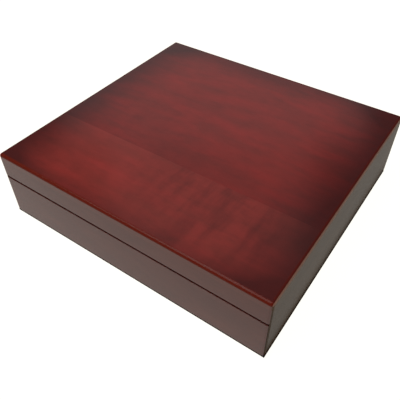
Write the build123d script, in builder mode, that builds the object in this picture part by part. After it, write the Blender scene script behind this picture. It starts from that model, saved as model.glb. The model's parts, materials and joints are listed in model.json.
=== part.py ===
from build123d import *
import os

os.makedirs("parts", exist_ok=True)

# Coin display tray: a lacquered wooden case on thin pads, a slide-out drawer behind a mitred front
# panel, and a compartment tray that lifts out of the drawer.
# Millimetres. +Z is up, the drawer opens along -Y, and the origin is under the middle of the box.

# ---- Overall size of the closed box ----
box_width = 316
box_depth = 300
box_height = 80
edge_round = 3  # radius of the top edges and of the upright corners

# ---- Case ----
wall = 10  # sides, back, rail and front panel
top_thickness = 8
top_front_board_width = 90  # the top is glued up from two boards
floor_thickness = 5
floor_rebate = 6  # how far the floor reaches into the sides and the back
floor_front_gap = 0.5  # between the floor and the front panel
pad_thickness = 1.2
pad_radius = 7
pad_inset = 18  # from the outer faces to a pad's middle
glide_thickness = 2
glide_width = 11
kicker_width = 8.5  # strips above the drawer sides that stop it tipping
rear_block_size = 14

# ---- Front: the panel and the rail above it are one board, sawn apart ----
seam_bottom = 50  # height of the front panel's top edge
seam_gap = 2.4
seam_ease = 0.3  # rounding of the two edges along the seam
mitre_gap = 0.3
panel_lift = 1  # the front panel's lower edge is this far above the case's
nail_groove_length = 70
nail_groove_width = 4
nail_groove_depth = 3
nail_groove_lip = 2  # wood left between the groove and the face

# ---- Drawer ----
drawer_side_gap = 1
drawer_side = 8
drawer_end = 7  # inner front board and back board
drawer_bottom_thickness = 3
drawer_bottom_recess = 2.5  # from the drawer's lower edge up to its bottom board
drawer_groove = 4
bin_length = 29.5
bin_wall_thickness = 5
ledger_width = 5
lug_height = 3
lug_length = 7
lug_side_gap = 0.5
lining = 0.8  # velvet
tray_overhang = 9.25  # with the drawer open, the tray stands this far out of the case

# ---- Tray ----
columns = 5
rows = 4
tray_gap = 0.75  # round the tray inside the drawer
tray_recess = 6  # from the drawer's top edge down to the tray's rim
tray_base_thickness = 3
rim_width = 6
rim_height = 10
divider_thickness = 3
divider_drop = 0.5  # the dividers stop this far below the rim
lap_gap = 0.1  # play on each side of a half-lap crossing
knob_collar_radius = 2.6
knob_collar_height = 0.8
knob_ball_radius = 2.3
knob_height = 5.2
knob_stud_radius = 1
knob_stud_length = 6

# ---- Sliding clearances ----
slide_gap = 0.3
kicker_gap = 0.6
stop_block_gap = 0.8

# ---- Magnetic catches and fasteners ----
catch_spacing = 120
catch_block_width = 24
catch_block_height = 20
catch_block_depth = 5.2
magnet_radius = 5
magnet_length = 4
strike_radius = 8
strike_thickness = 1.5
screw_radius = 1.5
screw_head_radius = 3
strike_screw_radius = 1.1
strike_screw_head_radius = 2.3
strike_screw_length = 6
front_screw_length = 14
front_screw_spacing = 180
floor_screw_length = 12
floor_screw_spacing = 90
pilot_spare = 0.5  # a pilot hole is this much deeper than its screw
dowel_radius = 2
dowel_length = 20
joint_inset = 11  # dowels and front screws, from the drawer's lower and upper edges

# ---- Heights ----
case_bottom = pad_thickness
case_top = box_height - top_thickness
floor_top = case_bottom + floor_thickness
glide_top = floor_top + glide_thickness
panel_bottom = case_bottom + panel_lift
rail_bottom = seam_bottom + seam_gap
drawer_bottom = glide_top + slide_gap
drawer_top = seam_bottom
board_bottom = drawer_bottom + drawer_bottom_recess
board_top = board_bottom + drawer_bottom_thickness
rim_top = drawer_top - tray_recess
rim_bottom = rim_top - rim_height
tray_bottom = rim_bottom - tray_base_thickness
tray_floor = rim_bottom + lining
divider_top = rim_top - divider_drop
lap_height = (tray_floor + divider_top) / 2
lug_top = drawer_top + lug_height
kicker_bottom = lug_top + kicker_gap
stop_block_bottom = drawer_top + stop_block_gap
joint_heights = (drawer_bottom + joint_inset, drawer_top - joint_inset)
catch_height = (drawer_bottom + drawer_top) / 2

# ---- Half widths, from the middle plane ----
half_width = box_width / 2
case_inner = half_width - wall
drawer_half = case_inner - drawer_side_gap
drawer_inner = drawer_half - drawer_side
tray_half = drawer_inner - tray_gap
lattice_half = tray_half - rim_width
cell_width = (2 * lattice_half - (columns - 1) * divider_thickness) / columns

# ---- Positions from front to back ----
half_depth = box_depth / 2
front_inner = -half_depth + wall
back_inner = half_depth - wall
subfront_back = front_inner + drawer_end
catch_front = back_inner - catch_block_depth
drawer_back = catch_front - slide_gap - strike_thickness
drawer_back_front = drawer_back - drawer_end
bin_front = drawer_back_front - bin_length
bin_wall_front = bin_front - bin_wall_thickness
tray_front = subfront_back + tray_gap
tray_back = bin_wall_front - tray_gap
lattice_front = tray_front + rim_width
lattice_back = tray_back - rim_width
lattice_middle = (lattice_front + lattice_back) / 2
cell_depth = (lattice_back - lattice_front - (rows - 1) * divider_thickness) / rows
lug_front = drawer_back - lug_length
drawer_travel = half_depth + tray_back + tray_overhang
stop_block_back = lug_front - drawer_travel - slide_gap

# ---- Repeated places ----
sides = {"left": -1, "right": 1}
column_lines = [(i - columns / 2) * (cell_width + divider_thickness) for i in range(1, columns)]
row_lines = [lattice_middle + (i - rows / 2) * (cell_depth + divider_thickness) for i in range(1, rows)]
floor_screw_line = case_inner + floor_rebate / 2
back_screw_line = back_inner + floor_rebate / 2
floor_screw_places = [(s * floor_screw_line, i * floor_screw_spacing) for s in (-1, 1) for i in (-1, 0, 1)]
floor_screw_places += [(i * floor_screw_spacing, back_screw_line) for i in (-1, 0, 1)]
front_screw_places = [(s * front_screw_spacing / 2, z) for s in (-1, 1) for z in joint_heights]
dowel_lines = ((front_inner + subfront_back) / 2, (drawer_back_front + drawer_back) / 2)
knob_line = tray_half - rim_width / 2

# ---- Directions for holes and fasteners (a hole runs along its place's -Z, a screw along +Z) ----
upward_hole = (180, 0, 0)
forward_hole = (-90, 0, 0)
backward_hole = (90, 0, 0)
forward_screw = (90, 0, 0)
low_end = (Align.CENTER, Align.CENTER, Align.MIN)


def save(builder, label):
    """Name a finished piece and write its STEP file."""
    builder.part.label = label
    export_step(builder.part, f"parts/{label}.step")


def lay_rectangle(x_limits, y_limits):
    """A rectangle between two limits each way, in the sketch being drawn."""
    with Locations(((x_limits[0] + x_limits[1]) / 2, (y_limits[0] + y_limits[1]) / 2)):
        Rectangle(abs(x_limits[1] - x_limits[0]), y_limits[1] - y_limits[0])


def save_block(label, x_limits, y_limits, z_limits):
    """A plain rectangular piece."""
    with BuildPart() as block:
        with BuildSketch(Plane.XY.offset(z_limits[0])):
            lay_rectangle(x_limits, y_limits)
        extrude(amount=z_limits[1] - z_limits[0])
    save(block, label)


def lay_wall(*wedge):
    """One wall of the case in plan, cut out of the rounded ring by its mitre planes."""
    RectangleRounded(box_width, box_depth, edge_round)
    Rectangle(2 * case_inner, 2 * back_inner, mode=Mode.SUBTRACT)
    Polygon(*wedge, align=None, mode=Mode.INTERSECT)


def front_wedge(gap):
    """The front wall's mitre planes, set back from the side walls by a gap."""
    outer = half_width - gap * 2**0.5
    reach = 2 * wall
    return ((-outer, -half_depth), (outer, -half_depth), (outer - reach, reach - half_depth),
            (reach - outer, reach - half_depth))


def cut_floor_rebate():
    """Take the floor board's place out of the piece being built."""
    with BuildSketch(Plane.XY.offset(case_bottom)) as rebate:
        lay_floor()
    extrude(rebate.sketch, amount=floor_thickness, mode=Mode.SUBTRACT)


def lay_floor():
    """The floor board in plan."""
    reach = case_inner + floor_rebate
    lay_rectangle((-reach, reach), (front_inner + floor_front_gap, back_inner + floor_rebate))


def lay_drawer_bottom():
    """The drawer's bottom board in plan, out to the bottom of its grooves."""
    reach = drawer_inner + drawer_groove
    lay_rectangle((-reach, reach), (subfront_back - drawer_groove, drawer_back_front + drawer_groove))


def cut_drawer_groove():
    """Take the bottom board's place out of the piece being built."""
    with BuildSketch(Plane.XY.offset(board_bottom)) as groove:
        lay_drawer_bottom()
    extrude(groove.sketch, amount=drawer_bottom_thickness, mode=Mode.SUBTRACT)


def floor_pilot_holes():
    """Pilot holes for the floor screws, where the piece being built has wood for them."""
    with Locations(*[Location((x, y, floor_top), upward_hole) for x, y in floor_screw_places]):
        Hole(screw_radius, depth=floor_screw_length - floor_thickness + pilot_spare)


def dowel_places():
    """The outer end of each corner dowel, with +Z running inwards."""
    turns = {-1: (0, 90, 0), 1: (0, -90, 0)}
    return [Location((s * drawer_half, y, z), turns[s]) for s in turns for y in dowel_lines for z in joint_heights]


def dowel_holes():
    """Holes for the corner dowels in the drawer board being built."""
    with Locations(*dowel_places()):
        Cylinder(dowel_radius, dowel_length, align=low_end, mode=Mode.SUBTRACT)


def screws(places, radius, head_radius, length):
    """Countersunk screws, head at each place and shank along its +Z."""
    with Locations(*places):
        Cone(head_radius, radius, head_radius - radius, align=low_end)
        Cylinder(radius, length, align=low_end)


# ==== Case ====
def save_top_board(label, keep):
    """One of the two boards of the top, cut from the rounded panel at the glue line."""
    with BuildPart() as board:
        with BuildSketch(Plane.XY.offset(case_top)):
            Rectangle(box_width, box_depth)
        extrude(amount=top_thickness)
        upper = board.faces().sort_by(Axis.Z)[-1].edges()
        fillet(board.edges().filter_by(Axis.Z) + upper, radius=edge_round)
        split(bisect_by=Plane.XZ.offset(half_depth - top_front_board_width), keep=keep)
    save(board, label)


save_top_board("top_front_board", Keep.TOP)
save_top_board("top_rear_board", Keep.BOTTOM)

for name, side in sides.items():
    with BuildPart() as case_side:
        with BuildSketch(Plane.XY.offset(case_bottom)):
            outer_x = side * half_width
            inner_x = side * (half_width - 2 * wall)
            lay_wall((outer_x, -half_depth), (outer_x, half_depth), (inner_x, half_depth - 2 * wall),
                     (inner_x, 2 * wall - half_depth))
        extrude(amount=case_top - case_bottom)
        cut_floor_rebate()
        floor_pilot_holes()
    save(case_side, f"case_side_{name}")

with BuildPart() as case_back:
    with BuildSketch(Plane.XY.offset(case_bottom)):
        reach = half_width - 2 * wall
        lay_wall((-half_width, half_depth), (half_width, half_depth), (reach, half_depth - 2 * wall),
                 (-reach, half_depth - 2 * wall))
    extrude(amount=case_top - case_bottom)
    cut_floor_rebate()
    floor_pilot_holes()
save(case_back, "case_back")

with BuildPart() as upper_rail:
    with BuildSketch(Plane.XY.offset(rail_bottom)):
        lay_wall(*front_wedge(0))
    extrude(amount=case_top - rail_bottom)
    lower_edges = upper_rail.faces().sort_by(Axis.Z)[0].edges()
    fillet(lower_edges.filter_by_position(Axis.Y, -half_depth, edge_round / 2 - half_depth), radius=seam_ease)
save(upper_rail, "upper_rail")

with BuildPart() as case_floor:
    with BuildSketch(Plane.XY.offset(case_bottom)):
        lay_floor()
    extrude(amount=floor_thickness)
    with Locations(*[Location((x, y, case_bottom), upward_hole) for x, y in floor_screw_places]):
        CounterSinkHole(screw_radius, screw_head_radius, depth=floor_thickness, counter_sink_angle=90)
save(case_floor, "case_floor")

with BuildPart() as floor_screws:
    screws([Location((x, y, case_bottom)) for x, y in floor_screw_places], screw_radius, screw_head_radius,
           floor_screw_length)
save(floor_screws, "floor_screws")

pad_x = half_width - pad_inset
pad_y = half_depth - pad_inset
for name, place in {"front_left": (-pad_x, -pad_y), "front_right": (pad_x, -pad_y), "rear_left": (-pad_x, pad_y),
                    "rear_right": (pad_x, pad_y)}.items():
    with BuildPart() as foot_pad:
        with BuildSketch():
            with Locations(place):
                Circle(pad_radius)
        extrude(amount=pad_thickness)
    save(foot_pad, f"foot_pad_{name}")

for name, side in sides.items():
    block_x = (side * (case_inner - kicker_width), side * case_inner)
    rear_x = (side * (case_inner - rear_block_size), side * case_inner)
    glide_x = (side * (drawer_half - glide_width), side * drawer_half)
    rear_block_front = back_inner - rear_block_size
    save_block(f"glide_strip_{name}", glide_x, (subfront_back, back_inner), (floor_top, glide_top))
    save_block(f"kicker_{name}", block_x, (stop_block_back, rear_block_front), (kicker_bottom, case_top))
    save_block(f"stop_block_{name}", block_x, (front_inner, stop_block_back), (stop_block_bottom, case_top))
    save_block(f"rear_corner_block_{name}", rear_x, (rear_block_front, back_inner), (kicker_bottom, case_top))

for name, side in sides.items():
    middle_x = side * catch_spacing / 2
    block_z = catch_height - catch_block_height / 2
    with BuildPart() as catch_block:
        with BuildSketch(Plane.XY.offset(block_z)):
            lay_rectangle((middle_x - catch_block_width / 2, middle_x + catch_block_width / 2),
                          (catch_front, back_inner))
        extrude(amount=catch_block_height)
        with Locations(Location((middle_x, catch_front, catch_height), backward_hole)):
            Hole(magnet_radius, depth=magnet_length)
    save(catch_block, f"catch_block_{name}")

    with BuildPart() as catch_magnet:
        with BuildSketch(Plane.XZ.offset(-catch_front)):
            with Locations((middle_x, catch_height)):
                Circle(magnet_radius)
        extrude(amount=-magnet_length)
    save(catch_magnet, f"catch_magnet_{name}")

# ==== Drawer ====
with BuildPart() as front_panel:
    with BuildSketch(Plane.XY.offset(panel_bottom)):
        lay_wall(*front_wedge(mitre_gap))
    extrude(amount=seam_bottom - panel_bottom)
    upper_edges = front_panel.faces().sort_by(Axis.Z)[-1].edges()
    fillet(upper_edges.filter_by_position(Axis.Y, -half_depth, edge_round / 2 - half_depth), radius=seam_ease)
    with BuildSketch(Plane.XY.offset(seam_bottom)):
        with Locations((0, nail_groove_lip + nail_groove_width / 2 - half_depth)):
            SlotOverall(nail_groove_length, nail_groove_width)
    extrude(amount=-nail_groove_depth, mode=Mode.SUBTRACT)
    with Locations(*[Location((x, front_inner, z), forward_hole) for x, z in front_screw_places]):
        Hole(screw_radius, depth=front_screw_length - drawer_end + pilot_spare)
save(front_panel, "front_panel")

with BuildPart() as drawer_inner_front:
    with BuildSketch(Plane.XY.offset(drawer_bottom)):
        lay_rectangle((-drawer_inner, drawer_inner), (front_inner, subfront_back))
    extrude(amount=drawer_top - drawer_bottom)
    cut_drawer_groove()
    dowel_holes()
    with Locations(*[Location((x, subfront_back, z), forward_hole) for x, z in front_screw_places]):
        CounterSinkHole(screw_radius, screw_head_radius, depth=drawer_end, counter_sink_angle=90)
save(drawer_inner_front, "drawer_inner_front")

with BuildPart() as front_screws:
    screws([Location((x, subfront_back, z), forward_screw) for x, z in front_screw_places], screw_radius,
           screw_head_radius, front_screw_length)
save(front_screws, "front_screws")

for name, side in sides.items():
    with BuildPart() as drawer_side_board:
        with BuildSketch(Plane.XY.offset(drawer_bottom)):
            lay_rectangle((side * drawer_inner, side * drawer_half), (front_inner, drawer_back))
        extrude(amount=drawer_top - drawer_bottom)
        cut_drawer_groove()
        dowel_holes()
    save(drawer_side_board, f"drawer_side_{name}")

    lug_x = (side * (drawer_inner + lug_side_gap), side * (drawer_half - lug_side_gap))
    ledger_x = (side * (drawer_inner - ledger_width), side * drawer_inner)
    save_block(f"stop_lug_{name}", lug_x, (lug_front, drawer_back), (drawer_top, lug_top))
    save_block(f"tray_ledger_{name}", ledger_x, (subfront_back, bin_wall_front), (board_top, tray_bottom))

with BuildPart() as drawer_back_board:
    with BuildSketch(Plane.XY.offset(drawer_bottom)):
        lay_rectangle((-drawer_inner, drawer_inner), (drawer_back_front, drawer_back))
    extrude(amount=drawer_top - drawer_bottom)
    cut_drawer_groove()
    dowel_holes()
    with Locations(*[Location((s * catch_spacing / 2, drawer_back, catch_height), forward_hole) for s in (-1, 1)]):
        Hole(strike_screw_radius, depth=strike_screw_length - strike_thickness + pilot_spare)
save(drawer_back_board, "drawer_back")

with BuildPart() as corner_dowels:
    with Locations(*dowel_places()):
        Cylinder(dowel_radius, dowel_length, align=low_end)
save(corner_dowels, "corner_dowels")

with BuildPart() as drawer_bottom_board:
    with BuildSketch(Plane.XY.offset(board_bottom)):
        lay_drawer_bottom()
    extrude(amount=drawer_bottom_thickness)
save(drawer_bottom_board, "drawer_bottom")

save_block("bin_wall", (-drawer_inner, drawer_inner), (bin_wall_front, bin_front), (board_top, rim_top))
save_block("storage_lining", (ledger_width - drawer_inner, drawer_inner - ledger_width),
           (subfront_back, bin_wall_front), (board_top, board_top + lining))
save_block("bin_lining", (-drawer_inner, drawer_inner), (bin_front, drawer_back_front),
           (board_top, board_top + lining))

strike_face = drawer_back + strike_thickness
for name, side in sides.items():
    with BuildPart() as strike_disc:
        with BuildSketch(Plane.XZ.offset(-strike_face)):
            with Locations((side * catch_spacing / 2, catch_height)):
                Circle(strike_radius)
        extrude(amount=strike_thickness)
        with Locations(Location((side * catch_spacing / 2, strike_face, catch_height), forward_hole)):
            CounterSinkHole(strike_screw_radius, strike_screw_head_radius, depth=strike_thickness,
                            counter_sink_angle=90)
    save(strike_disc, f"strike_disc_{name}")

with BuildPart() as strike_screws:
    screws([Location((s * catch_spacing / 2, strike_face, catch_height), forward_screw) for s in (-1, 1)],
           strike_screw_radius, strike_screw_head_radius, strike_screw_length)
save(strike_screws, "strike_screws")

# ==== Tray ====
save_block("tray_base", (-tray_half, tray_half), (tray_front, tray_back), (tray_bottom, rim_bottom))
save_block("tray_lining", (-lattice_half, lattice_half), (lattice_front, lattice_back), (rim_bottom, tray_floor))
save_block("tray_rim_front", (-tray_half, tray_half), (tray_front, lattice_front), (rim_bottom, rim_top))
save_block("tray_rim_rear", (-tray_half, tray_half), (lattice_back, tray_back), (rim_bottom, rim_top))

for name, side in sides.items():
    with BuildPart() as tray_rim:
        with BuildSketch(Plane.XY.offset(rim_bottom)):
            lay_rectangle((side * lattice_half, side * tray_half), (lattice_front, lattice_back))
        extrude(amount=rim_height)
        with Locations((side * knob_line, lattice_middle, rim_top)):
            Hole(knob_stud_radius, depth=knob_stud_length)
    save(tray_rim, f"tray_rim_{name}")

    with BuildPart() as lift_knob:
        with Locations((side * knob_line, lattice_middle, rim_top)):
            Cylinder(knob_collar_radius, knob_collar_height, align=low_end)
        with Locations((side * knob_line, lattice_middle, rim_top + knob_height - knob_ball_radius)):
            Sphere(knob_ball_radius)
        with Locations((side * knob_line, lattice_middle, rim_top - knob_stud_length)):
            Cylinder(knob_stud_radius, knob_stud_length, align=low_end)
    save(lift_knob, f"lift_knob_{name}")

for number, x in enumerate(column_lines, start=1):
    with BuildPart() as long_divider:
        with BuildSketch(Plane.XY.offset(tray_floor)):
            with Locations((x, lattice_middle)):
                Rectangle(divider_thickness, lattice_back - lattice_front)
        extrude(amount=divider_top - tray_floor)
        with BuildSketch(Plane.XY.offset(lap_height)):
            with Locations(*[(x, y) for y in row_lines]):
                Rectangle(divider_thickness, divider_thickness + 2 * lap_gap)
        extrude(amount=divider_top - lap_height, mode=Mode.SUBTRACT)
    save(long_divider, f"long_divider_{number}")

for number, y in enumerate(row_lines, start=1):
    with BuildPart() as cross_divider:
        with BuildSketch(Plane.XY.offset(tray_floor)):
            with Locations((0, y)):
                Rectangle(2 * lattice_half, divider_thickness)
        extrude(amount=divider_top - tray_floor)
        with BuildSketch(Plane.XY.offset(tray_floor)):
            with Locations(*[(x, y) for x in column_lines]):
                Rectangle(divider_thickness + 2 * lap_gap, divider_thickness)
        extrude(amount=lap_height - tray_floor, mode=Mode.SUBTRACT)
    save(cross_divider, f"cross_divider_{number}")

print(f"compartment {cell_width:.2f} x {cell_depth:.2f}, drawer travel {drawer_travel:.2f}, "
      f"tray lift {case_top - rim_top - knob_height:.2f} under the top")
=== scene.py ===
"""Looks of the coin display tray: lacquered boards, bare inner wood, velvet, brass and steel, and the studio."""

import json
import math

import bpy
from bpy.props import FloatProperty, FloatVectorProperty, PointerProperty
from mathutils import Matrix, Vector


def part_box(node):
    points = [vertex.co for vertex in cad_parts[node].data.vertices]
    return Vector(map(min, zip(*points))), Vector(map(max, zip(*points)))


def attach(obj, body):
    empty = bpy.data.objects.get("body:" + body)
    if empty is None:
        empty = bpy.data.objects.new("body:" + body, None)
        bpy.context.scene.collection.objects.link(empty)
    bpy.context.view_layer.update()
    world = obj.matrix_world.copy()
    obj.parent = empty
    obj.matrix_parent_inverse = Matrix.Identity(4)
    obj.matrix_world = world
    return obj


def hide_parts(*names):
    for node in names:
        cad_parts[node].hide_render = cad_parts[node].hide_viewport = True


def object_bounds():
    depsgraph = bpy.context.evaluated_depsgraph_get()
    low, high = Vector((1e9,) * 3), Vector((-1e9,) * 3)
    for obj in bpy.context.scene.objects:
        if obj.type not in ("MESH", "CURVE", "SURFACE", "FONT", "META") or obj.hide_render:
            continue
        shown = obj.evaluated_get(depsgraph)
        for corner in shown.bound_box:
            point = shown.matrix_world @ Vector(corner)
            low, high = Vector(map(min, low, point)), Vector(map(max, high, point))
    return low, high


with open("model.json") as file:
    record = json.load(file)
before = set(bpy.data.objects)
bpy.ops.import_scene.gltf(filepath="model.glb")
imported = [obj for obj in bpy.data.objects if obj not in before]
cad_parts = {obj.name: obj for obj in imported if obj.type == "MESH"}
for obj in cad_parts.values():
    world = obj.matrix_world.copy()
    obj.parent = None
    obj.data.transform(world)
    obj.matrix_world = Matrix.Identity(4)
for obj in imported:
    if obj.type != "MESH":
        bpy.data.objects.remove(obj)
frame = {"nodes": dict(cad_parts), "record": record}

bl_info = {
    "name": "Coin display tray",
    "version": (1, 0, 0),
    "blender": (4, 5, 0),
    "location": "View3D > Sidebar > Coin tray",
    "description": "Finishes and fittings of a lacquered coin drawer with a velvet-lined tray",
    "category": "Object",
}

MM = 0.001
CAD_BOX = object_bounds()
CASE_LOW, CASE_HIGH = CAD_BOX
GLUE_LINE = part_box("top_front_board")[1].y

# Boards by the direction of their grain.
LACQUERED_BOARDS = {
    "top_front_board": "X", "top_rear_board": "X", "upper_rail": "X", "front_panel": "X", "case_back": "X",
    "case_side_left": "Y", "case_side_right": "Y",
}
CASE_BOARDS = {
    "case_floor": "X", "glide_strip_left": "Y", "glide_strip_right": "Y", "kicker_left": "Y", "kicker_right": "Y",
    "stop_block_left": "Y", "stop_block_right": "Y", "rear_corner_block_left": "Z", "rear_corner_block_right": "Z",
    "catch_block_left": "X", "catch_block_right": "X",
}
DRAWER_BOARDS = {
    "drawer_inner_front": "X", "drawer_side_left": "Y", "drawer_side_right": "Y", "drawer_back": "X",
    "drawer_bottom": "X", "bin_wall": "X", "tray_ledger_left": "Y", "tray_ledger_right": "Y",
    "stop_lug_left": "Y", "stop_lug_right": "Y",
}
TRAY_BOARDS = {
    "tray_base": "X", "tray_rim_front": "X", "tray_rim_rear": "X", "tray_rim_left": "Y", "tray_rim_right": "Y",
    "long_divider_1": "Y", "long_divider_2": "Y", "long_divider_3": "Y", "long_divider_4": "Y",
    "cross_divider_1": "X", "cross_divider_2": "X", "cross_divider_3": "X",
}


# ---------------------------------------------------------------- colours and nodes
def linear(hex_colour):
    """An sRGB hex colour as linear RGBA."""
    channels = [int(hex_colour[i:i + 2], 16) / 255 for i in (1, 3, 5)]
    return [c / 12.92 if c <= 0.04045 else ((c + 0.055) / 1.055) ** 2.4 for c in channels] + [1.0]


def add_node(material, kind, inputs=None, **settings):
    """Add one node: settings are its own properties, and each input is given a value or a socket to link."""
    tree = material.node_tree
    node = tree.nodes.new(kind)
    for name, value in settings.items():
        setattr(node, name, value)
    for name, value in (inputs or {}).items():
        if isinstance(value, bpy.types.NodeSocket):
            tree.links.new(value, node.inputs[name])
        else:
            node.inputs[name].default_value = value
    return node


def new_material(name, **shader_inputs):
    """A node material with its shader joined to the output. Returns it, its shader and Object coordinates."""
    material = bpy.data.materials.new(name)
    material.use_nodes = True
    material.node_tree.nodes.clear()
    values = {key.replace("_", " "): value for key, value in shader_inputs.items()}
    shader = add_node(material, "ShaderNodeBsdfPrincipled", values)
    add_node(material, "ShaderNodeOutputMaterial", {"Surface": shader.outputs["BSDF"]})
    place = add_node(material, "ShaderNodeTexCoord").outputs["Object"]
    return material, shader, place


def stretched_noise(material, place, along, length, width, low, high, **more):
    """Noise whose spots are `length` along one axis and `width` across it, cut between two levels."""
    sizes = {axis: length if axis == along else width for axis in "XYZ"}
    scale = [1 / sizes[axis] for axis in "XYZ"]
    mapped = add_node(material, "ShaderNodeMapping", {"Vector": place, "Scale": scale}).outputs["Vector"]
    inputs = {"Vector": mapped, "Scale": 1.0, "Detail": 2.0, "Roughness": 0.5, **more}
    noise = add_node(material, "ShaderNodeTexNoise", inputs).outputs["Fac"]
    return fade(material, noise, low, high, 1.0)


def blend_colours(material, amount, first, second):
    """Mix two colours by an amount."""
    # A mix node has sockets for numbers, vectors and colours under the same names, so these go by number.
    inputs = {0: amount, 6: first, 7: second}
    return add_node(material, "ShaderNodeMix", inputs, data_type="RGBA").outputs[2]


def combine(material, operation, first, second):
    """One arithmetic step between two values."""
    return add_node(material, "ShaderNodeMath", {0: first, 1: second}, operation=operation).outputs[0]


def fade(material, value, none_at, full_at, full):
    """An amount that rises smoothly from nothing to `full` between two values."""
    levels = {"Value": value, "From Min": none_at, "From Max": full_at, "To Max": full}
    return add_node(material, "ShaderNodeMapRange", levels, interpolation_type="SMOOTHSTEP").outputs["Result"]


def wood_grain(material, place, along, light, dark, pore, contrast):
    """Straight-grained hardwood: growth bands, fine streaks and open pores. Returns its colour and its relief."""
    bands = stretched_noise(material, place, along, 60 * MM, 16 * MM, 0.25, 0.75, Detail=3.0, Distortion=0.25)
    streaks = stretched_noise(material, place, along, 70 * MM, 1.8 * MM, 0.42, 0.78, Detail=4.0, Roughness=0.6)
    # Real pores are 0.1 mm wide; these are three times that, so that they show.
    pores = stretched_noise(material, place, along, 5 * MM, 0.35 * MM, 0.58, 0.72)
    colour = blend_colours(material, bands, dark, light)
    colour = blend_colours(material, combine(material, "MULTIPLY", streaks, contrast), colour, dark)
    colour = blend_colours(material, combine(material, "MULTIPLY", pores, contrast), colour, pore)
    relief = combine(material, "SUBTRACT", combine(material, "MULTIPLY", streaks, -0.2), pores)
    return colour, relief


def add_bump(material, shader, height, distance, socket="Normal"):
    """Raise the surface by a height pattern."""
    inputs = {"Strength": 1.0, "Distance": distance, "Height": height}
    bump = add_node(material, "ShaderNodeBump", inputs)
    material.node_tree.links.new(bump.outputs["Normal"], shader.inputs[socket])


# ---------------------------------------------------------------- materials
TOP_GLOSS = 0.58
END_GLOSS = 0.12
def lacquered_mahogany(name, along, light, dark, edge, gloss, figure):
    """Red-stained mahogany under lacquer finished by rubbing out: deep colour, a veil of reflection with soft
    borders.
    """
    material, shader, place = new_material(
        name, Roughness=0.55, Specular_IOR_Level=0.02, Coat_Weight=gloss, Coat_Roughness=0.2, Coat_IOR=1.5)
    colour, relief = wood_grain(material, place, along, light, dark, edge, 0.08)

    # Clouds of deeper stain, as wide as a hand, and mottling as small as a fingertip.
    clouds = stretched_noise(material, place, along, 90 * MM, 40 * MM, 0.35, 0.7)
    colour = blend_colours(material, combine(material, "MULTIPLY", clouds, 0.5), colour, dark)
    mottle = stretched_noise(material, place, along, 14 * MM, 8 * MM, 0.4, 0.7, Detail=3.0)
    colour = blend_colours(material, combine(material, "MULTIPLY", mottle, 0.1), colour, edge)

    # Curls across the grain, where the trunk was twisted, strongest in the middle of one patch.
    centre, radius, strength = figure
    across = {"X": "Y", "Y": "X"}[along]
    curls = stretched_noise(material, place, across, 60 * MM, 14 * MM, 0.35, 0.75, Detail=3.0)
    shifted = add_node(material, "ShaderNodeVectorMath", {0: place, 1: centre}, operation="SUBTRACT").outputs[0]
    length = add_node(material, "ShaderNodeVectorMath", {0: shifted}, operation="LENGTH").outputs["Value"]
    patch = fade(material, length, radius, radius * 0.3, strength)
    colour = blend_colours(material, combine(material, "MULTIPLY", curls, patch), colour, edge)

    material.node_tree.links.new(colour, shader.inputs["Base Color"])
    add_bump(material, shader, relief, 0.03 * MM)
    # Sprayed lacquer keeps a faint orange peel.
    peel = stretched_noise(material, place, along, 4 * MM, 4 * MM, 0.2, 0.8)
    add_bump(material, shader, peel, 0.004 * MM, "Coat Normal")
    return material, shader, place, colour


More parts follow.
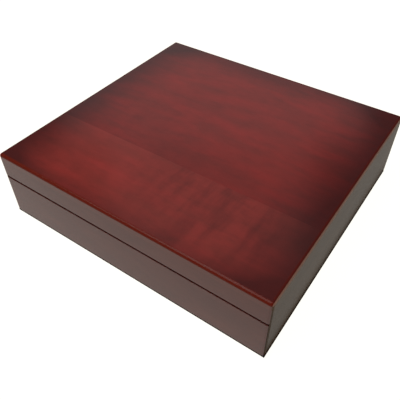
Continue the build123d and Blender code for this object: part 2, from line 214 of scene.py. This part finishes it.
def shade_top(finish, colours, heartwood):
    """Finish a board of the top: dark stain round it, with a painted dark reflection at the ends, a worn red arris
    with a painted highlight on the ends, and the duller side below it, painted in shaded colours on the ends.
    """
    material, shader, place, colour = finish
    spots = add_node(material, "ShaderNodeSeparateXYZ", {"Vector": place}).outputs
    from_side = combine(material, "SUBTRACT", CASE_HIGH.x, combine(material, "ABSOLUTE", spots["X"], 0.0))
    from_rear = combine(material, "SUBTRACT", CASE_HIGH.y, spots["Y"])
    from_front = combine(material, "SUBTRACT", spots["Y"], CASE_LOW.y)
    # Both ends darken, partly by stain and partly by a painted dark reflection. Its middle sits 2 mm left of
    # centre, so the right end, where the reflection falls, is darker.
    dark_reflection_x = combine(material, "ABSOLUTE", combine(material, "ADD", spots["X"], 2 * MM), 0.0)
    burst_and_shade = fade(material, combine(material, "SUBTRACT", CASE_HIGH.x, dark_reflection_x), 72 * MM, -14 * MM, 0.85)
    burst_and_shade = combine(material, "ADD", burst_and_shade, fade(material, from_rear, 46 * MM, -8 * MM, 0.6))
    burst_and_shade = combine(material, "ADD", burst_and_shade, fade(material, from_front, 26 * MM, -4 * MM, 0.45))
    # Dark heartwood runs along the joint.
    joint = combine(material, "SUBTRACT", spots["Y"], GLUE_LINE)
    burst_and_shade = combine(material, "ADD", burst_and_shade, fade(material, joint, 60 * MM, -5 * MM, heartwood))
    colour = blend_colours(material, combine(material, "MINIMUM", burst_and_shade, 0.77), colour, colours.burst_and_shade)
    # The rounding of the arris ends 3 mm down.
    foot = CASE_HIGH.z - 3 * MM
    below = fade(material, spots["Z"], foot + 0.6 * MM, foot, 1.0)
    long_arris = fade(material, combine(material, "MINIMUM", from_rear, from_front), 4 * MM, 2 * MM, 0.9)
    end_arris = fade(material, from_side, 4 * MM, 2 * MM, 0.4)
    worn = combine(material, "SUBTRACT", combine(material, "MAXIMUM", long_arris, end_arris), below)
    worn = combine(material, "MAXIMUM", worn, 0.0)
    colour = blend_colours(material, worn, colour, colours.arris)
    # A thin pale line is painted on the arris of the two ends: a painted highlight.
    arris_highlight = combine(material, "SUBTRACT", fade(material, from_side, 1.3 * MM, 0.9 * MM, 0.85), below)
    colour = blend_colours(material, combine(material, "MAXIMUM", arris_highlight, 0.0), colour, colours.arris_highlight)
    ends = fade(material, from_side, 2 * MM, 0.5 * MM, 1.0)
    # Below the arris, the ends of the top take the ends' shaded colours: painted shade.
    side = blend_colours(material, ends, colours.side_light, colours.shaded_end_light)
    colour = blend_colours(material, below, colour, side)
    material.node_tree.links.new(colour, shader.inputs["Base Color"])
    # The lacquer is worn thin on the arris and dull on the two ends.
    coat = combine(material, "SUBTRACT", TOP_GLOSS, combine(material, "MULTIPLY", worn, TOP_GLOSS * 0.88))
    dull = combine(material, "MULTIPLY", ends, 1 - END_GLOSS / TOP_GLOSS)
    coat = combine(material, "MULTIPLY", coat, combine(material, "SUBTRACT", 1.0, dull))
    material.node_tree.links.new(coat, shader.inputs["Coat Weight"])
    return material


def dull_and_shade_foot(finish, edge):
    """Rub the lacquer dull toward a board's foot, and paint a dark line of shade on the arris there, where the
    side meets the table.
    """
    material, shader, place, colour = finish
    height = add_node(material, "ShaderNodeSeparateXYZ", {"Vector": place}).outputs["Z"]
    # Painted shade: a dark line along the foot of the board.
    foot_shade = fade(material, height, 5.2 * MM, 3.4 * MM, 0.95)
    colour = blend_colours(material, foot_shade, colour, edge)
    material.node_tree.links.new(colour, shader.inputs["Base Color"])
    coat = combine(material, "SUBTRACT", END_GLOSS, fade(material, height, 34 * MM, 2 * MM, END_GLOSS * 0.5))
    coat = combine(material, "MULTIPLY", coat, combine(material, "SUBTRACT", 1.0, foot_shade))
    material.node_tree.links.new(coat, shader.inputs["Coat Weight"])


def satin_wood(name, along, light, dark, pore, roughness, coat):
    """Planed hardwood with a thin satin or wax finish: the grain shows, with a low broad shine."""
    material, shader, place = new_material(
        name, Roughness=roughness, Coat_Weight=coat, Coat_Roughness=0.35, Specular_IOR_Level=0.4)
    colour, relief = wood_grain(material, place, along, light, dark, pore, 0.4)
    material.node_tree.links.new(colour, shader.inputs["Base Color"])
    add_bump(material, shader, relief, 0.06 * MM)
    return material


def cotton_velvet(name, pile, shade, sheen):
    """Short cotton velvet: dark where seen from above, pale at grazing angles, with brushed marks in the nap."""
    material, shader, place = new_material(
        name, Roughness=0.95, Specular_IOR_Level=0.15, Sheen_Weight=0.7, Sheen_Roughness=0.35, Sheen_Tint=sheen)
    brushed = stretched_noise(material, place, "X", 22 * MM, 14 * MM, 0.38, 0.66, Distortion=1.2)
    # Tufts stand 0.3 mm apart; these are 0.8 mm, so that they show.
    tufts = stretched_noise(material, place, "X", 0.8 * MM, 0.8 * MM, 0.3, 0.7)
    colour = blend_colours(material, combine(material, "MULTIPLY", brushed, 0.55), pile, shade)
    colour = blend_colours(material, combine(material, "MULTIPLY", tufts, 0.35), colour, shade)
    material.node_tree.links.new(colour, shader.inputs["Base Color"])
    add_bump(material, shader, tufts, 0.18 * MM)
    return material


def turned_brass(name, colour):
    """Polished brass turned on a lathe: warm mirror with hair-fine rings round the axis."""
    material, shader, place = new_material(name, Base_Color=colour, Metallic=1.0)
    rings = stretched_noise(material, place, "Z", 0.12 * MM, 3 * MM, 0.3, 0.7)
    levels = {"Value": rings, "To Min": 0.16, "To Max": 0.3}
    worn = add_node(material, "ShaderNodeMapRange", levels).outputs["Result"]
    material.node_tree.links.new(worn, shader.inputs["Roughness"])
    add_bump(material, shader, rings, 0.01 * MM)
    return material


def plated_steel(name, light, dark, along, roughness):
    """Zinc or nickel plate over ground steel: grey metal with fine scratches one way and dull spots."""
    material, shader, place = new_material(name, Metallic=1.0)
    scratches = stretched_noise(material, place, along, 9 * MM, 0.2 * MM, 0.35, 0.7, Detail=3.0)
    spots = stretched_noise(material, place, along, 2.5 * MM, 2.5 * MM, 0.45, 0.75)
    colour = blend_colours(material, combine(material, "MULTIPLY", spots, 0.25), light, dark)
    material.node_tree.links.new(colour, shader.inputs["Base Color"])
    levels = {"Value": scratches, "To Min": roughness, "To Max": roughness + 0.15}
    rough = add_node(material, "ShaderNodeMapRange", levels).outputs["Result"]
    material.node_tree.links.new(rough, shader.inputs["Roughness"])
    add_bump(material, shader, scratches, 0.01 * MM)
    return material


def moulded_rubber(name, light, dark):
    """Matt black rubber, moulded against a fine-grained tool, with dust in its grain."""
    material, shader, place = new_material(name, Roughness=0.8, Specular_IOR_Level=0.3)
    grain = stretched_noise(material, place, "X", 0.4 * MM, 0.4 * MM, 0.3, 0.7)
    colour = blend_colours(material, grain, dark, light)
    material.node_tree.links.new(colour, shader.inputs["Base Color"])
    add_bump(material, shader, grain, 0.04 * MM)
    return material


def opal_acrylic(name, glow, shade):
    """Matt opal sheet of a light table, lit from below: white and even, so that shadows on it stay pale."""
    material, shader, place = new_material(
        name, Roughness=0.9, Specular_IOR_Level=0.1, Emission_Color=glow, Emission_Strength=1.08)
    clouds = stretched_noise(material, place, "X", 1.5, 1.5, 0.2, 0.8)
    tone = blend_colours(material, clouds, shade, glow)
    tone = blend_colours(material, 0.95, tone, (0, 0, 0, 1))
    material.node_tree.links.new(tone, shader.inputs["Base Color"])
    return material


# ---------------------------------------------------------------- modelling helpers
def clear_selection():
    """Leave nothing selected."""
    if bpy.context.object and bpy.context.object.mode != "OBJECT":
        bpy.ops.object.mode_set(mode="OBJECT")
    bpy.ops.object.select_all(action="DESELECT")


def take_up(piece):
    """Select one object alone and make it the active one."""
    clear_selection()
    piece.select_set(True)
    bpy.context.view_layer.objects.active = piece


def paint(node, material):
    """Give a CAD node one material."""
    slots = frame["nodes"][node].data.materials
    slots.clear()
    slots.append(material)


def hand_over(piece, material, slot, body, *nodes):
    """Finish a piece: its material, the body it moves with and the CAD nodes it stands for."""
    take_up(piece)
    bpy.ops.object.transform_apply(location=True, rotation=True, scale=True)
    piece.data.materials.clear()
    piece.data.materials.append(material)
    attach(piece, body)
    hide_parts(*nodes)
    clear_selection()


def merged_copy(node, name):
    """A copy of a CAD node's mesh as one closed shell with whole flat faces."""
    clear_selection()
    piece = bpy.data.objects.new(name, frame["nodes"][node].data.copy())
    bpy.context.scene.collection.objects.link(piece)
    take_up(piece)
    bpy.ops.mesh.customdata_custom_splitnormals_clear()
    bpy.ops.object.mode_set(mode="EDIT")
    bpy.ops.mesh.select_all(action="SELECT")
    bpy.ops.mesh.remove_doubles(threshold=0.001 * MM)
    bpy.ops.mesh.dissolve_limited(angle_limit=math.radians(0.5))
    bpy.ops.mesh.normals_make_consistent(inside=False)
    bpy.ops.object.mode_set(mode="OBJECT")
    return piece


def ease_edges(piece, width):
    """Take the sharpness off every edge, as one pass of fine paper does."""
    take_up(piece)
    bevel = piece.modifiers.new("eased", "BEVEL")
    bevel.width = width
    bevel.segments = 2
    bevel.limit_method = "ANGLE"
    bevel.angle_limit = math.radians(50)
    bpy.ops.object.modifier_apply(modifier=bevel.name)
    bpy.ops.object.shade_smooth_by_angle(angle=math.radians(35))


def separate_solids(node):
    """The lowest and highest corners of each separate solid in a CAD node."""
    spare = merged_copy(node, "spare")
    bpy.ops.object.mode_set(mode="EDIT")
    bpy.ops.mesh.select_all(action="SELECT")
    bpy.ops.mesh.separate(type="LOOSE")
    bpy.ops.object.mode_set(mode="OBJECT")
    boxes = []
    for solid in bpy.context.selected_objects[:]:
        points = [vertex.co for vertex in solid.data.vertices]
        boxes.append((Vector(map(min, zip(*points))), Vector(map(max, zip(*points)))))
    bpy.ops.object.delete()
    return boxes


def turn_profile(name, place, profile, sides=48):
    """A solid of revolution about Z: a ring extruded from one (radius, height) to the next."""
    clear_selection()
    radius, height = profile[0]
    bpy.ops.mesh.primitive_circle_add(vertices=sides, radius=radius, location=place + Vector((0, 0, height)))
    piece = bpy.context.object
    piece.name = name
    bpy.ops.object.mode_set(mode="EDIT")
    bpy.ops.mesh.select_all(action="SELECT")
    for next_radius, next_height in profile[1:]:
        bpy.ops.mesh.extrude_edges_move(TRANSFORM_OT_translate={"value": (0, 0, next_height - height)})
        ratio = next_radius / radius
        centre = place + Vector((0, 0, next_height))
        bpy.ops.transform.resize(value=(ratio, ratio, 1), center_override=centre)
        radius, height = next_radius, next_height
    bpy.ops.mesh.select_all(action="SELECT")
    bpy.ops.mesh.fill_holes(sides=0)
    bpy.ops.mesh.select_all(action="SELECT")
    bpy.ops.mesh.normals_make_consistent(inside=False)
    bpy.ops.object.mode_set(mode="OBJECT")
    return piece


# ---------------------------------------------------------------- settings
def colour_setting(name, description, hex_colour):
    """A colour in the sidebar, given as sRGB hex."""
    return FloatVectorProperty(name=name, description=description, subtype="COLOR", size=4, min=0, max=1,
                               default=linear(hex_colour))


def length_setting(name, description, millimetres):
    """A length in the sidebar, given in millimetres."""
    return FloatProperty(name=name, description=description, default=millimetres * MM, unit="LENGTH", precision=5)


class CoinTraySizes(bpy.types.PropertyGroup):
    """Small sizes that finish the pieces."""

    eased_edge: length_setting("Eased edge", "Bevel on the edges of the inner boards", 0.35)
    pile_swell: length_setting("Pile swell", "How far the velvet rises between the dividers", 0.5)
    recess_width: length_setting("Screw recess", "Width of a screw head's cross recess", 0.75)


class CoinTrayColours(bpy.types.PropertyGroup):
    """Colours of the finishes."""

    front_light: colour_setting("Front board", "Bright bands of the top's front board", "#7e2621")
    front_dark: colour_setting("Front board, dark", "Dark bands of the top's front board", "#69231d")
    rear_light: colour_setting("Rear board", "Bright bands of the top's rear board", "#7b1e1a")
    rear_dark: colour_setting("Rear board, dark", "Dark bands of the top's rear board", "#651d18")
    side_light: colour_setting("Front", "Bright bands of the rail, the panel and the back", "#4e1e14")
    side_dark: colour_setting("Front, dark", "Dark bands of the rail, the panel and the back", "#44170f")
    # The ends are darker and greener than the front: painted shade, tinted like the reflection on the shaded right
    # side.
    shaded_end_light: colour_setting("Ends", "Bright bands of the two end boards", "#402b10")
    shaded_end_dark: colour_setting("Ends, dark", "Dark bands of the two end boards", "#36240c")
    arris: colour_setting("Arris", "Stain worn back to red on the top's arris", "#561608")
    # Painted highlight: a pale line on the arris of the top's ends.
    arris_highlight: colour_setting("Arris highlight", "A pale line painted as a highlight on the arris of the top's ends", "#866656")
    # Dark stain, also used for painted shade at the foot of the ends and for a painted dark reflection on the
    # top's ends.
    burst_and_shade: colour_setting("Burst", "Stain on the edges and in the pores, also painted shade and reflection", "#1e0607")
    drawer_light: colour_setting("Drawer wood", "Bright bands of the drawer's boards", "#a9683c")
    drawer_dark: colour_setting("Drawer wood, dark", "Dark bands of the drawer's boards", "#7c4424")
    maple_light: colour_setting("Maple", "Bright bands of the maple strips and the floor", "#dcc198")
    maple_dark: colour_setting("Maple, dark", "Dark bands of the maple strips and the floor", "#bd9a6a")
    velvet: colour_setting("Velvet", "Upper side of the pile", "#6a0f1c")
    velvet_shade: colour_setting("Velvet, shade", "Brushed and shaded pile", "#3d060f")
    velvet_sheen: colour_setting("Velvet sheen", "Pile seen at a low angle", "#e8909a")
    brass: colour_setting("Brass", "Polished brass", "#e6c27a")
    steel: colour_setting("Steel", "Bright zinc or nickel plate", "#c9cbce")
    steel_dark: colour_setting("Steel, dull", "Dull spots in the plate", "#8e9094")


class CoinTrayStage(bpy.types.PropertyGroup):
    """Camera and light."""

    azimuth: FloatProperty(name="Azimuth", description="Camera's turn round the box", subtype="ANGLE",
                           default=math.radians(34.78))
    elevation: FloatProperty(name="Elevation", description="Camera's height over the horizon", subtype="ANGLE",
                             default=math.radians(44.38))
    distance: length_setting("Distance", "From the camera to the point it looks at", 564.2)
    aim_right: length_setting("Aim right", "The aim's shift to the camera's right", -10.6)
    aim_up: length_setting("Aim up", "The aim's shift up in the camera's view", -13.0)
    lens: FloatProperty(name="Lens", description="Focal length on a 36 mm sensor", default=43.05)
    table: colour_setting("Light table", "Glow of the opal sheet", "#fffcf4")
    table_shade: colour_setting("Light table, shade", "Faint clouds in the opal sheet", "#f2efe9")


# ---------------------------------------------------------------- pieces
class COINTRAY_OT_lacquer_case(bpy.types.Operator):
    """Lacquer the outer boards of the box"""

    bl_idname = "coin_tray.lacquer_case"
    bl_label = "Lacquer the case"

    def execute(self, context):
        colours = context.scene.coin_tray_colours
        edge = colours.burst_and_shade
        # Where the curls of each board are strongest, how far they reach and how strong they are.
        before_joint = (Vector((70 * MM, GLUE_LINE - 10 * MM, CASE_HIGH.z)), 120 * MM, 0.42)
        behind_joint = (Vector((-60 * MM, GLUE_LINE + 20 * MM, CASE_HIGH.z)), 120 * MM, 0.12)
        all_round = (Vector((0, 0, CASE_HIGH.z)), 200 * MM, 0.1)
        front, rear = (
            lacquered_mahogany(f"lacquered_mahogany_top_{board}", "X", light, dark, edge, TOP_GLOSS, figure)
            for board, light, dark, figure in (
                ("front", colours.front_light, colours.front_dark, before_joint),
                ("rear", colours.rear_light, colours.rear_dark, behind_joint))
        )
        # The end boards take shaded colours: painted shade on the side that faces away from the light.
        sides = {
            along: lacquered_mahogany(
                f"lacquered_mahogany_side_{along.lower()}", along, light, dark, edge, gloss, all_round)
            for along, light, dark, gloss in (
                ("X", colours.side_light, colours.side_dark, TOP_GLOSS),
                ("Y", colours.shaded_end_light, colours.shaded_end_dark, END_GLOSS))
        }
        dull_and_shade_foot(sides["Y"], edge)
        finishes = {
            "top_front_board": shade_top(front, colours, 0.0),
            "top_rear_board": shade_top(rear, colours, 0.14),
        }
        for node, along in LACQUERED_BOARDS.items():
            paint(node, finishes.get(node, sides[along][0]))
        return {"FINISHED"}


class COINTRAY_OT_fit_inner_boards(bpy.types.Operator):
    """Ease and finish the boards of the case's inside, the drawer and the tray"""

    bl_idname = "coin_tray.fit_inner_boards"
    bl_label = "Fit the inner boards"

    def execute(self, context):
        colours = context.scene.coin_tray_colours
        edge = context.scene.coin_tray_sizes.eased_edge
        drawer = (colours.drawer_light, colours.drawer_dark, colours.rear_dark)
        maple = (colours.maple_light, colours.maple_dark, colours.drawer_dark)
        mahogany = (colours.rear_light, colours.rear_dark, colours.burst_and_shade)
        families = (
            ("case", "waxed_maple", CASE_BOARDS, maple, 0.5, 0.0),
            ("drawer", "satin_drawer_wood", DRAWER_BOARDS, drawer, 0.45, 0.25),
            ("tray", "satin_mahogany", TRAY_BOARDS, mahogany, 0.4, 0.5),
        )
        slots = {entry["node"]: entry["material_slot"] for entry in frame["record"]["subparts"]}
        for body, name, boards, tones, roughness, coat in families:
            finishes = {
                along: satin_wood(f"{name}_{along.lower()}", along, *tones, roughness, coat)
                for along in sorted(set(boards.values()))
            }
            for node, along in boards.items():
                piece = merged_copy(node, f"eased_{node}")
                ease_edges(piece, edge)
                hand_over(piece, finishes[along], slots[node], body, node)
        dowel = satin_wood("beech_dowel_end", "X", *maple, 0.6, 0.0)
        paint("corner_dowels", dowel)
        return {"FINISHED"}


class COINTRAY_OT_lay_velvet(bpy.types.Operator):
    """Lay the velvet in the tray, under it and in the rear bin"""

    bl_idname = "coin_tray.lay_velvet"
    bl_label = "Lay the velvet"

    def execute(self, context):
        colours = context.scene.coin_tray_colours
        swell = context.scene.coin_tray_sizes.pile_swell
        velvet = cotton_velvet("cotton_velvet", colours.velvet, colours.velvet_shade, colours.velvet_sheen)
        dividers = {
            "x": sorted(sum(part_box(f"long_divider_{i}"), Vector()).x / 2 for i in range(1, 5)),
            "y": sorted(sum(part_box(f"cross_divider_{i}"), Vector()).y / 2 for i in range(1, 4)),
        }
        self.lay("tray_velvet", "tray_lining", "tray_base", "tray", velvet, swell, dividers)
        self.lay("storage_velvet", "storage_lining", "drawer_bottom", "drawer", velvet, swell, {})
        self.lay("bin_velvet", "bin_lining", "drawer_bottom", "drawer", velvet, swell, {})
        return {"FINISHED"}

    def lay(self, name, node, board, body, velvet, swell, dividers):
        """One sheet, cut to the node's size, pressed down at its borders and under the dividers."""
        low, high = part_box(node)
        size = high - low
        mesh_step = 2.2 * MM
        half_divider = 1.5 * MM
        sunk = 0.05 * MM
        clear_selection()
        bpy.ops.mesh.primitive_grid_add(
            x_subdivisions=round(size.x / mesh_step), y_subdivisions=round(size.y / mesh_step), size=1,
            location=((low.x + high.x) / 2, (low.y + high.y) / 2, high.z))
        piece = bpy.context.object
        piece.name = name
        piece.scale = (size.x, size.y, 1)
        bpy.ops.object.transform_apply(location=True, rotation=True, scale=True)
        for vertex in piece.data.vertices:
            gaps = [vertex.co.x - low.x, high.x - vertex.co.x, vertex.co.y - low.y, high.y - vertex.co.y]
            gaps += [abs(vertex.co.x - x) - half_divider for x in dividers.get("x", ())]
            gaps += [abs(vertex.co.y - y) - half_divider for y in dividers.get("y", ())]
            rise = min(1, max(0, min(gaps)) / (6 * MM))
            ripple = 0.75 + 0.25 * math.sin(vertex.co.x / (9 * MM)) * math.sin(vertex.co.y / (13 * MM) + 1)
            vertex.co.z += swell * ripple * rise * rise * (3 - 2 * rise) - sunk
        cloth = piece.modifiers.new("cloth", "SOLIDIFY")
        cloth.thickness = size.z - 2 * sunk
        cloth.offset = -1
        bpy.ops.object.modifier_apply(modifier=cloth.name)
        bpy.ops.object.shade_smooth_by_angle(angle=math.radians(40))
        hand_over(piece, velvet, "velvet", body, node)


class COINTRAY_OT_turn_knobs(bpy.types.Operator):
    """Turn the two brass knobs that the tray is lifted by"""

    bl_idname = "coin_tray.turn_knobs"
    bl_label = "Turn the lift knobs"

    def execute(self, context):
        brass = turned_brass("polished_brass", context.scene.coin_tray_colours.brass)
        rim_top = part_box("tray_rim_left")[1].z
        for side in ("left", "right"):
            low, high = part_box(f"lift_knob_{side}")
            middle = (low + high) / 2
            height = high.z - rim_top
            stem = 0.98 * MM
            ball = 2.3 * MM
            # The stem, the flange and the neck, then the ball from where it leaves the neck up to its crown.
            profile = [(stem, low.z - rim_top), (stem, 0.0), (2.45 * MM, 0.01 * MM), (2.6 * MM, 0.15 * MM),
                       (2.6 * MM, 0.5 * MM), (2.35 * MM, 0.75 * MM), (1.7 * MM, 0.8 * MM), (1.25 * MM, 1.0 * MM)]
            for step in range(14):
                angle = math.radians(-58 + step * 148 / 13.2)
                profile.append((max(ball * math.cos(angle), 0.1 * MM), height - ball + ball * math.sin(angle)))
            piece = turn_profile(f"turned_knob_{side}", Vector((middle.x, middle.y, rim_top)), profile)
            take_up(piece)
            bpy.ops.object.shade_smooth_by_angle(angle=math.radians(40))
            hand_over(piece, brass, "knob_brass", "tray", f"lift_knob_{side}")
        return {"FINISHED"}


class COINTRAY_OT_drive_screws(bpy.types.Operator):
    """Drive the countersunk screws, each with a cross recess"""

    bl_idname = "coin_tray.drive_screws"
    bl_label = "Drive the screws"

    def execute(self, context):
        colours = context.scene.coin_tray_colours
        zinc = plated_steel("zinc_plated_steel", colours.steel, colours.steel_dark, "X", 0.28)
        up = Matrix.Identity(4)
        forward = Matrix.Rotation(math.radians(90), 4, "X")
        self.drive("floor_screws", "case", zinc, up)
        self.drive("front_screws", "drawer", zinc, forward)
        self.drive("strike_screws", "drawer", zinc, forward)
        return {"FINISHED"}

    def drive(self, node, body, zinc, turn):
        """A copy of one screw at every solid of the node, its head where the node's heads are."""
        boxes = separate_solids(node)
        size = boxes[0][1] - boxes[0][0]
        length = max(size)
        head = min(sorted(size)[:2]) / 2
        pattern = self.cut_screw(head, length)
        copies = []
        for low, high in boxes:
            middle = (low + high) / 2
            top = Vector((middle.x, middle.y, low.z)) if turn.is_identity else Vector((middle.x, high.y, middle.z))
            copy = bpy.data.objects.new("screw", pattern.data.copy())
            copy.data.transform(Matrix.Translation(top) @ turn)
            bpy.context.scene.collection.objects.link(copy)
            copies.append(copy)
        take_up(pattern)
        bpy.ops.object.delete()
        take_up(copies[0])
        for copy in copies:
            copy.select_set(True)
        bpy.ops.object.join()
        piece = bpy.context.object
        piece.name = f"cross_head_{node}"
        hand_over(piece, zinc, "screw_steel", body, node)

    def cut_screw(self, head, length):
        """One screw along +Z from its head of that radius, with a tapered cross sunk into it."""
        shank = head / 2
        profile = [(head * 0.9, 0.0), (head, 0.03 * MM), (shank, head * 0.55), (shank, length * 0.93),
                   (shank * 0.3, length)]
        screw = turn_profile("screw_pattern", Vector(), profile, sides=32)
        width = bpy.context.scene.coin_tray_sizes.recess_width
        span = head * 1.15
        for across in ((span, width), (width, span)):
            clear_selection()
            bpy.ops.mesh.primitive_cube_add(size=1, location=(0, 0, 0))
            cutter = bpy.context.object
            cutter.scale = (*across, head * 0.8)
            bpy.ops.object.transform_apply(location=True, rotation=True, scale=True)
            for vertex in cutter.data.vertices:
                if vertex.co.z > 0:
                    vertex.co.x *= 0.55
                    vertex.co.y *= 0.55
            take_up(screw)
            cut = screw.modifiers.new("recess", "BOOLEAN")
            cut.object = cutter
            cut.operation = "DIFFERENCE"
            cut.solver = "EXACT"
            bpy.ops.object.modifier_apply(modifier=cut.name)
            take_up(cutter)
            bpy.ops.object.delete()
        take_up(screw)
        bpy.ops.object.shade_smooth_by_angle(angle=math.radians(30))
        return screw


class COINTRAY_OT_finish_hardware(bpy.types.Operator):
    """Finish the magnets, the strike discs and the foot pads"""

    bl_idname = "coin_tray.finish_hardware"
    bl_label = "Finish the hardware"

    def execute(self, context):
        colours = context.scene.coin_tray_colours
        nickel = plated_steel("nickel_plated_magnet", colours.steel, colours.steel_dark, "Z", 0.18)
        ground = plated_steel("ground_steel_disc", colours.steel, colours.steel_dark, "X", 0.32)
        rubber = moulded_rubber("moulded_rubber", linear("#2a2a2c"), linear("#161617"))
        for side in ("left", "right"):
            paint(f"catch_magnet_{side}", nickel)
            paint(f"strike_disc_{side}", ground)
            for end in ("front", "rear"):
                node = f"foot_pad_{end}_{side}"
                piece = merged_copy(node, f"eased_{node}")
                ease_edges(piece, context.scene.coin_tray_sizes.eased_edge)
                hand_over(piece, rubber, "pad_rubber", "case", node)
        return {"FINISHED"}


class COINTRAY_OT_set_stage(bpy.types.Operator):
    """Set up the light table, the lights and the camera"""

    bl_idname = "coin_tray.set_stage"
    bl_label = "Set the stage"

    def execute(self, context):
        stage = context.scene.coin_tray_stage
        clear_selection()
        bpy.ops.mesh.primitive_plane_add(size=6, location=(0, 0, CASE_LOW.z))
        table = bpy.context.object
        table.name = "light_table"
        table.data.materials.append(opal_acrylic("opal_acrylic", stage.table, stage.table_shade))
        # A black card under the box keeps the table's glow out of the gap below its sides: painted shade, dark
        # where a contact shadow would be. A second one, out of the camera's sight, reaches past the right side and
        # paints shade into the reflection at that side's foot.
        black = moulded_rubber("contact_shadow_card", linear("#1c1916"), linear("#0d0c0b"))
        cards = (("contact_shadow_card", 0, 0.05 * MM, True), ("shade_card", 2.4 * MM, 0.1 * MM, False))
        for name, reach, rise, seen in cards:
            bpy.ops.mesh.primitive_plane_add(size=1, location=(reach / 2, 0, CASE_LOW.z + rise))
            card = bpy.context.object
            card.name = name
            card.scale = (CASE_HIGH.x - CASE_LOW.x + reach, CASE_HIGH.y - CASE_LOW.y - 0.6 * MM, 1)
            bpy.ops.object.transform_apply(location=True, rotation=True, scale=True)
            card.data.materials.append(black)
            card.visible_camera = seen

        middle = (CASE_LOW + CASE_HIGH) / 2
        self.add_light("overhead_softbox", middle + Vector((-0.35, -0.45, 1.5)), middle, 1.3, 1.3, 29)
        self.add_light("back_softbox", middle + Vector((-0.97, 1.5, 0.91)), middle, 1.6, 0.8, 2.3)
        self.add_light("ceiling_bounce", middle + Vector((-0.75, 1.15, 1.46)), middle, 1.05, 0.7, 0.8)
        world = bpy.data.worlds.new("studio")
        world.use_nodes = True
        world.node_tree.nodes["Background"].inputs["Color"].default_value = (1, 1, 1, 1)
        world.node_tree.nodes["Background"].inputs["Strength"].default_value = 0.13
        context.scene.world = world
        context.scene.view_settings.view_transform = "Standard"

        back = Vector((math.sin(stage.azimuth) * math.cos(stage.elevation),
                       -math.cos(stage.azimuth) * math.cos(stage.elevation), math.sin(stage.elevation)))
        right = Vector((math.cos(stage.azimuth), math.sin(stage.azimuth), 0))
        aim = Vector((0, 0, CASE_LOW.z)) + right * stage.aim_right + back.cross(right) * stage.aim_up
        camera = bpy.data.objects.new("camera", bpy.data.cameras.new("camera"))
        camera.location = aim + back * stage.distance
        camera.rotation_mode = "QUATERNION"
        camera.rotation_quaternion = back.to_track_quat("Z", "Y")
        camera.data.sensor_width = 36
        camera.data.lens = stage.lens
        camera.data.clip_start = 0.01
        context.scene.collection.objects.link(camera)
        context.scene.camera = camera
        return {"FINISHED"}

    def add_light(self, name, place, target, width, height, power):
        """A soft rectangular light that the camera doesn't see."""
        light = bpy.data.objects.new(name, bpy.data.lights.new(name, "AREA"))
        light.data.shape = "RECTANGLE"
        light.data.size = width
        light.data.size_y = height
        light.data.energy = power
        light.location = place
        light.rotation_mode = "QUATERNION"
        light.rotation_quaternion = (place - target).to_track_quat("Z", "Y")
        light.visible_camera = False
        bpy.context.scene.collection.objects.link(light)


STEPS = (COINTRAY_OT_set_stage, COINTRAY_OT_lacquer_case, COINTRAY_OT_fit_inner_boards, COINTRAY_OT_lay_velvet,
         COINTRAY_OT_turn_knobs, COINTRAY_OT_drive_screws, COINTRAY_OT_finish_hardware)
SETTINGS = {"coin_tray_sizes": CoinTraySizes, "coin_tray_colours": CoinTrayColours,
            "coin_tray_stage": CoinTrayStage}


class COINTRAY_PT_panel(bpy.types.Panel):
    """Steps and settings of the coin tray"""

    bl_idname = "COINTRAY_PT_panel"
    bl_label = "Coin tray"
    bl_space_type = "VIEW_3D"
    bl_region_type = "UI"
    bl_category = "Coin tray"

    def draw(self, context):
        for step in STEPS:
            self.layout.operator(step.bl_idname)
        for group in SETTINGS:
            box = self.layout.box()
            for name in getattr(context.scene, group).bl_rna.properties.keys():
                if name not in ("rna_type", "name"):
                    box.prop(getattr(context.scene, group), name)


def register():
    for group, kind in SETTINGS.items():
        bpy.utils.register_class(kind)
        setattr(bpy.types.Scene, group, PointerProperty(type=kind))
    for step in (*STEPS, COINTRAY_PT_panel):
        bpy.utils.register_class(step)


def unregister():
    for step in (COINTRAY_PT_panel, *reversed(STEPS)):
        bpy.utils.unregister_class(step)
    for group, kind in reversed(SETTINGS.items()):
        delattr(bpy.types.Scene, group)
        bpy.utils.unregister_class(kind)


def main():
    register()
    bpy.ops.coin_tray.set_stage()
    bpy.ops.coin_tray.lacquer_case()
    bpy.ops.coin_tray.fit_inner_boards()
    bpy.ops.coin_tray.lay_velvet()
    bpy.ops.coin_tray.turn_knobs()
    bpy.ops.coin_tray.drive_screws()
    bpy.ops.coin_tray.finish_hardware()


if __name__ == "__main__":
    main()
